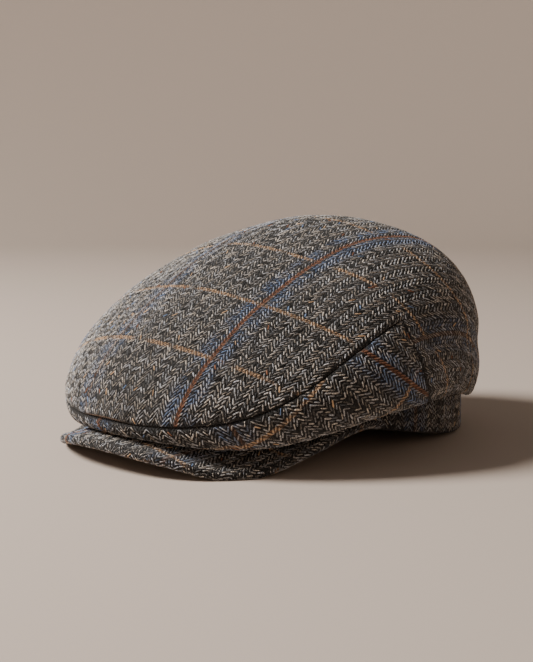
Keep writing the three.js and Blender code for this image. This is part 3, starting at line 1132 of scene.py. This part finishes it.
def lip(distance: Array, depth: Array | float, run: float) -> Array:
    """Returns how far a rolled edge drops, at distances from the edge."""
    t = 1 - np.clip(distance / run, 0, 1)
    return -depth * (1 - np.sqrt(1 - t * t))


@dataclass
class Piece:
    """A piece of the cap in cloth: a body that stands for one solid, and the yarn on it."""

    crown: CrownShape
    cloth: Cloth
    seed: int = 0

    def dress(self, node: str, wall: Wall, charts: list[Chart]) -> None:
        """Makes the body in place of a node and lays the yarn on its charts."""
        self.cloth.cover(wall.build(f"{node}_cloth"), node)
        self.cloth.lay_yarn(f"{node}_yarn", charts, self.seed)


@dataclass
class TopPanel(Piece):
    """The cloth over the top and down the back, rolled under along the seam.
    """

    counts: tuple[int, int, int] = (60, 14, 52)
    rows: int = 64
    row_spacing: float = 1.12
    clear: float = 0.9
    rear_clear: float = 0.05
    lip_depth: float = 1.0
    rear_lip_depth: float = 0.35
    lip_run: float = 2.2
    bow: float = 16                # fall of a line on the bolt, 100 mm from the middle
    drawn: tuple = ((-190, -1), (-149, -1), (-106, 4), (-57, 3), (2, -8), (130, -8))
    turned_in: tuple = ((1.3, -2.3), (0.6, -1.6))
    lip_change: tuple[float, float] = (-2, 4)
    layout_step: tuple[int, int] = (4, 3)
    seed: int = 11

    def angles(self) -> Array:
        """Returns the directions of the columns, with one at each corner of the edge."""
        corners = (0, self.crown.seam_end, self.crown.panel_rear, 180)
        spans = zip(corners, corners[1:], self.counts)
        half = np.concatenate([np.linspace(a, b, n, endpoint=False) for a, b, n in spans])
        return np.concatenate([[-180], -half[:0:-1], half])

    def build(self) -> None:
        """Makes the panel and its yarn."""
        angle = self.angles()[:, None]
        start = self.crown.panel_edge(angle, self.clear, self.rear_clear)
        near = LIP_ROWS * self.crown.share_of_mm(angle, start)
        first = start + near[:, -1:]
        share = (np.arange(1, self.rows + 1) / self.rows) ** self.row_spacing
        up = np.concatenate([start + near, first + (1 - first) * share], axis=1)
        distance = np.concatenate([LIP_ROWS, np.full(self.rows, self.lip_run)])
        change = (self.crown.seam_end + past for past in self.lip_change)
        seam = 1 - smoothstep(np.abs(angle), *change)
        depth = self.rear_lip_depth + (self.lip_depth - self.rear_lip_depth) * seam
        drop = lip(distance[None], depth, self.lip_run)
        outer = self.crown.point(angle, up, drop)
        inner = self.crown.point(angle, up, -self.crown.cloth)[:, ::-1]
        flat = self.layout(outer, angle)
        around = np.concatenate([flat, flat[:1]])
        wall = Wall(outer, inner, around, around[:, ::-1], True)
        past, deep = np.array(self.turned_in).T
        edge = np.repeat(start, len(past), axis=1)
        places = np.concatenate([self.crown.point(angle, edge, deep[None]), outer], axis=1)
        step = unit(flat[:, :1] - flat[:, 1:2]) * past[:, None]
        flat = np.concatenate([flat[:, :1] + step, flat], axis=1)
        chart = Chart(places, grid_normals(places, True), flat, True)
        self.dress("top_panel", wall, [chart])

    def layout(self, outer: Array, angle: Array) -> Array:
        """Lays the panel out flat on the bolt.

        Args:
            outer: grid of places of the outer face.
            angle: directions of the columns.

        Returns:
            The flat layout, with the check where it belongs.
        """
        run = run_length(outer[:, ::-1], 1)[:, ::-1]
        turn = np.radians(angle)
        first = np.stack([run * np.sin(turn), -run * np.cos(turn)], -1)
        flat = lay_flat(outer, first, True, self.layout_step)
        flat -= flat[:, -1].mean(axis=0)
        flat[..., 1] -= self.bow * (flat[..., 0] / 100) ** 2
        along, moved = np.array(self.drawn, dtype=float).T
        flat[..., 1] += np.interp(flat[..., 1], along, moved)
        return flat


@dataclass
class SidePanel(Piece):
    """The cloth under the seam, round the front and along both sides."""

    columns: int = 120
    rows: int = 34
    lip_depth: float = 1.0
    lip_run: float = 2.2
    allowance: tuple = ((0.4, -1.8), (0.9, -2.4), (3.0, -2.5), (5.0, -2.5))
    allowance_wall: float = 0.8
    side_allowance: tuple = ((1.003, -1.8), (1.012, -2.4), (1.045, -2.5))
    bolt_at: tuple[float, float] = (59.5, 25)
    layout_step: tuple[int, int] = (3, 2)
    allowance_shown: int = 2
    seed: int = 23

    def grid(self) -> tuple[Array, Array, Array]:
        """Places of the panel's columns and rows, with the cloth turned in past its edges.

        Returns:
            Directions, places along the half sections, and distances out from the crown.
        """
        past, sunk = np.array(self.side_allowance).T
        flush = np.zeros(self.columns + 1)
        sunk = np.concatenate([sunk[::-1], flush, sunk])[:, None]
        panel = np.linspace(-1, 1, self.columns + 1)
        along = np.concatenate([-past[::-1], panel, past])[:, None]
        top_angle = along * self.crown.seam_end
        seam = self.crown.seam.at("up", top_angle)
        per_mm = self.crown.share_of_mm(top_angle, seam)
        low = 1 - LIP_ROWS[-1] * per_mm / seam
        share = np.arange(self.rows) / self.rows * low
        share = np.concatenate([share, 1 - LIP_ROWS[::-1] * per_mm / seam], axis=1)
        rear = self.crown.panel_rear
        angle = along * (rear + (self.crown.seam_end - rear) * share)
        up = share * self.crown.seam.at("up", angle)
        beyond, depth = np.array(self.allowance).T
        angle = np.concatenate([angle, np.repeat(top_angle, len(beyond), axis=1)], axis=1)
        up = np.concatenate([up, seam + beyond * per_mm], axis=1)
        distance = np.concatenate([np.full(self.rows, self.lip_run), LIP_ROWS[::-1]])
        drop = np.concatenate([lip(distance, self.lip_depth, self.lip_run), depth])
        return angle, up, np.minimum(drop, sunk)

    def build(self) -> None:
        """Makes the panel and its yarn."""
        angle, up, drop = self.grid()
        inner_drop = np.minimum(-self.crown.cloth, drop - self.allowance_wall)
        outer = self.crown.point(angle, up, drop)
        inner = self.crown.point(angle, up, inner_drop)[:, ::-1]
        flat = lay_flat(outer, strip_layout(outer), False, self.layout_step)
        flat = flat + np.array(self.bolt_at)
        wall = Wall(outer, inner, flat, flat[:, ::-1])
        shown = self.rows + len(LIP_ROWS) + self.allowance_shown
        face = outer[:, :shown]
        chart = Chart(face, grid_normals(face, False), flat[:, :shown])
        self.dress("side_panel", wall, [chart])


@dataclass
class Headband(Piece):
    """The band round the head opening, folded double at its lower edge."""

    columns: int = 200
    rows: int = 10
    edge: float = 1.4
    edge_rows: int = 4
    overlap: int = 3
    inner_offset: float = 60
    seed: int = 37

    def build(self) -> None:
        """Makes the band and the yarn on its outer face."""
        band = self.crown.band
        angle = (np.arange(self.columns) * 360 / self.columns - 180)[:, None]
        reach = band.reach(angle, self.crown.axis_y)
        bottom = band.bottom(self.crown.axis_y - reach * np.cos(np.radians(angle)))
        top = self.crown.sections.at("join_z", angle) + band.above_join
        turn = np.linspace(0, 1, self.edge_rows + 1) * math.pi / 2
        level = np.linspace(0, 1, self.rows + 1)[1:-1]
        low_z, high_z = bottom + self.edge, top - self.edge
        short = self.edge * (1 - np.sin(turn))
        middle = low_z + (high_z - low_z) * level
        z = np.concatenate([bottom + short[::-1], middle, top - short], axis=1)
        deep = self.edge * (1 - np.cos(turn))
        deep = np.concatenate([deep[::-1], np.zeros(self.rows - 1), deep])
        outer = self.place(angle, reach - deep, z)
        inner = self.place(angle, reach - band.wall + deep, z)[:, ::-1]
        closed = np.concatenate([outer, outer[: self.overlap]])
        around = run_length(closed[:, self.edge_rows + 1], 0)
        height = run_length(closed, 1)
        flat = np.stack([np.broadcast_to(around[:, None], height.shape), height], -1)
        once = flat[: self.columns + 1]
        wall = Wall(outer, inner, once, once[:, ::-1] + (0, self.inner_offset), True)
        chart = Chart(closed, grid_normals(closed, False), flat)
        self.dress("headband", wall, [chart])

    def place(self, angle: Array, reach: Array, z: Array) -> Array:
        """Returns places at distances from the crown's axis and at heights."""
        angle, reach, z = np.broadcast_arrays(angle, reach, z)
        turn = np.radians(angle)
        y = self.crown.axis_y + self.crown.shift_y - reach * np.cos(turn)
        return np.stack([reach * np.sin(turn), y, z], -1)


@dataclass
class Peak(Piece):
    """The stiff peak: a curved plate with a rounded front edge, covered on both faces."""

    thickness: float = 5
    half_width: float = 90.5
    shoulder_y: float = -31
    front_y: float = -146
    roundness: float = 2.26
    end_y: float = -11
    tip: float = 3
    hollow: float = 1.4
    last_angle: float = 112
    columns: int = 150
    rows: int = 20
    nose_rows: int = 7
    upper_at: tuple[float, float] = (87.5, -26.5)
    lower_at: tuple[float, float] = (0, -400)
    past_nose: int = 12
    seed: int = 51
    lift: Table = Table(
        "angle lift",
        (0, 10.8), (24, 7), (44, 0), (56, 0), (74, 9.5), (90, 17.5), (112, 15.5),
    )

    def root(self, angle: Array) -> Array:
        """Returns where the peak meets the band, for angles along its outline."""
        band = self.crown.band
        end = math.acos((band.centre_y - self.end_y) / band.half_length)
        turn = end * angle / self.last_angle
        x = (band.half_width + self.crown.gap) * np.sin(turn)
        y = band.centre_y - (band.half_length + self.crown.gap) * np.cos(turn)
        return np.stack([x, y, band.bottom(y)], -1)

    def outline(self, angle: Array) -> Array:
        """Returns the outline's points: a broad curve and a rounded shoulder behind it."""
        side = np.radians(np.minimum(np.abs(angle), 90))
        power = 2 / self.roundness
        x = self.half_width * np.sin(side) ** power
        forward = np.maximum(np.cos(side), 0) ** power
        y = self.shoulder_y + (self.front_y - self.shoulder_y) * forward
        turn = np.clip((np.abs(angle) - 90) / (self.last_angle - 90), 0, 1) * math.pi / 2
        end_x = self.root(np.array(self.last_angle))[0] + self.tip
        behind = np.abs(angle) > 90
        x = np.where(behind, end_x + (self.half_width - end_x) * np.cos(turn), x)
        y = np.where(behind, self.shoulder_y + (self.end_y - self.shoulder_y) * np.sin(turn), y)
        z = np.maximum(0, self.lift.at("lift", angle))
        return np.stack([np.sign(angle) * x, y, z], -1)

    def build(self) -> None:
        """Makes the peak and the yarn on both of its faces."""
        angle = np.linspace(-1, 1, self.columns + 1) * self.last_angle
        root, tip = self.root(angle), self.outline(angle)
        across = (tip - root)[:, :2]
        width = np.linalg.norm(across, axis=-1)[:, None]
        across = across / width
        half = self.thickness / 2
        nose = np.minimum(half, width / 3)
        share = np.linspace(0, 1, self.rows + 1)
        turn = np.linspace(0, math.pi / 2, self.nose_rows + 1)[1:]
        out = np.concatenate([share * (width - nose), width - nose + nose * np.sin(turn)], axis=1)
        tip_z, root_z = tip[:, 2:], root[:, 2:]
        plate = tip_z + (root_z - tip_z) * (1 - share) ** self.hollow
        low = np.concatenate([plate, tip_z + half * (1 - np.cos(turn))], axis=1)
        high = np.concatenate([plate + self.thickness, tip_z + half * (1 + np.cos(turn))], axis=1)
        faces, layouts = [], []
        for z in (high, low):
            places = root[:, None, :2] + across[:, None] * out[..., None]
            places = np.concatenate([places, z[..., None]], -1)
            run = run_length(places, 1)
            layouts.append(root[:, None, :2] + across[:, None] * run[..., None])
            faces.append(places + np.array([0, self.crown.shift_y, 0]))
        upper, lower = faces[0], faces[1][:, ::-1]
        upper_flat = layouts[0] + np.array(self.upper_at)
        lower_flat = (layouts[1] * (-1, 1) + np.array(self.lower_at))[:, ::-1]
        wall = Wall(upper, lower, upper_flat, lower_flat)
        normals = [-grid_normals(face, False) for face in (upper, lower)]
        past = lower[:, 1 : 1 + self.past_nose]
        run = run_length(np.concatenate([upper[:, -1:], past], axis=1), 1)[:, 1:]
        past_flat = upper_flat[:, -1:] + across[:, None] * run[..., None]
        shown = np.concatenate([upper, past], axis=1)
        shown_flat = np.concatenate([upper_flat, past_flat], axis=1)
        shown_normals = np.concatenate([normals[0], normals[1][:, 1 : 1 + self.past_nose]], axis=1)
        charts = [Chart(shown, shown_normals, shown_flat), Chart(lower, normals[1], lower_flat)]
        self.dress("peak", wall, charts)


def aimed(name: str, data: bpy.types.ID, place: tuple, target: tuple) -> bpy.types.Object:
    """Returns a lamp or a camera at a place, turned to a target."""
    thing = linked(name, data)
    thing.location = place
    turn = (Vector(target) - Vector(place)).to_track_quat("-Z", "Y")
    thing.rotation_euler = turn.to_euler()
    return thing


@dataclass
class Studio:
    """Pale floor that rises all round like a wide bowl, soft daylight and camera."""

    camera_at: tuple = (0.5815, -0.5915, 0.175)
    camera_aim: tuple = (0.009, -0.0165, 0.064)
    lens: float = 76.4
    sensor: float = 36
    floor_reach: float = 1.5
    floor_bend: float = 0.9
    wall_height: float = 0.6
    bend_points: int = 24
    floor_sides: int = 96
    floor_colour: tuple = rgb(0.57, 0.48, 0.41)
    floor_roughness: float = 0.9
    sky_colour: tuple = rgb(1.0, 0.93, 0.87)
    sky_strength: float = 0.12
    key_at: tuple = (-1.0, -1.12, 1.42)
    key_aim: tuple = (0.0, 0.0, 0.05)
    key_size: float = 0.8
    key_watts: float = 76
    key_colour: tuple = (1.0, 0.96, 0.92)

    def floor(self) -> bpy.types.Object:
        """Returns the floor with its rising rim, turned about the upright axis."""
        turn = np.linspace(0, math.pi / 2, self.bend_points)
        reach = self.floor_reach + self.floor_bend * np.sin(turn)
        height = self.floor_bend * (1 - np.cos(turn))
        reach = np.concatenate([[0.0], reach, reach[-1:]])
        height = np.concatenate([[0.0], height, height[-1:] + self.wall_height])
        body = bmesh.new()
        points = [body.verts.new((r, 0, z)) for r, z in zip(reach.tolist(), height.tolist())]
        edges = [body.edges.new(pair) for pair in zip(points, points[1:])]
        axis = {"cent": (0, 0, 0), "axis": (0, 0, 1), "angle": math.tau}
        sides = self.floor_sides
        bmesh.ops.spin(body, geom=points + edges, use_merge=True, steps=sides, **axis)
        bmesh.ops.remove_doubles(body, verts=body.verts, dist=1e-6)
        bmesh.ops.recalc_face_normals(body, faces=body.faces)
        mesh = bpy.data.meshes.new("floor")
        body.to_mesh(mesh)
        body.free()
        mesh.shade_smooth()
        return linked("floor", mesh)

    def build(self) -> None:
        """Makes the floor, the light and the camera."""
        floor = self.floor()
        paint = bpy.data.materials.new("floor")
        paint.use_nodes = True
        shader = paint.node_tree.nodes["Principled BSDF"]
        shader.inputs["Base Color"].default_value = self.floor_colour
        shader.inputs["Roughness"].default_value = self.floor_roughness
        floor.data.materials.append(paint)
        world = bpy.data.worlds.new("sky")
        world.use_nodes = True
        sky = world.node_tree.nodes["Background"]
        sky.inputs["Color"].default_value = self.sky_colour
        sky.inputs["Strength"].default_value = self.sky_strength
        bpy.context.scene.world = world
        key = bpy.data.lights.new("key", "AREA")
        key.shape = "DISK"
        key.size = self.key_size
        key.energy = self.key_watts
        key.color = self.key_colour
        aimed("key", key, self.key_at, self.key_aim)
        camera = bpy.data.cameras.new("camera")
        camera.lens = self.lens
        camera.sensor_width = self.sensor
        view = aimed("camera", camera, self.camera_at, self.camera_aim)
        bpy.context.scene.camera = view


def main() -> None:
    """Builds the cap and the studio."""
    logging.basicConfig(level=logging.INFO, format="%(name)s %(message)s")
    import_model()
    Studio().build()
    crown = CrownShape()
    cloth = Cloth(Tweed("tweed"))
    for sub_assembly in (TopPanel, SidePanel, Headband, Peak):
        sub_assembly(crown, cloth).build()


if __name__ == "__main__":
    main()
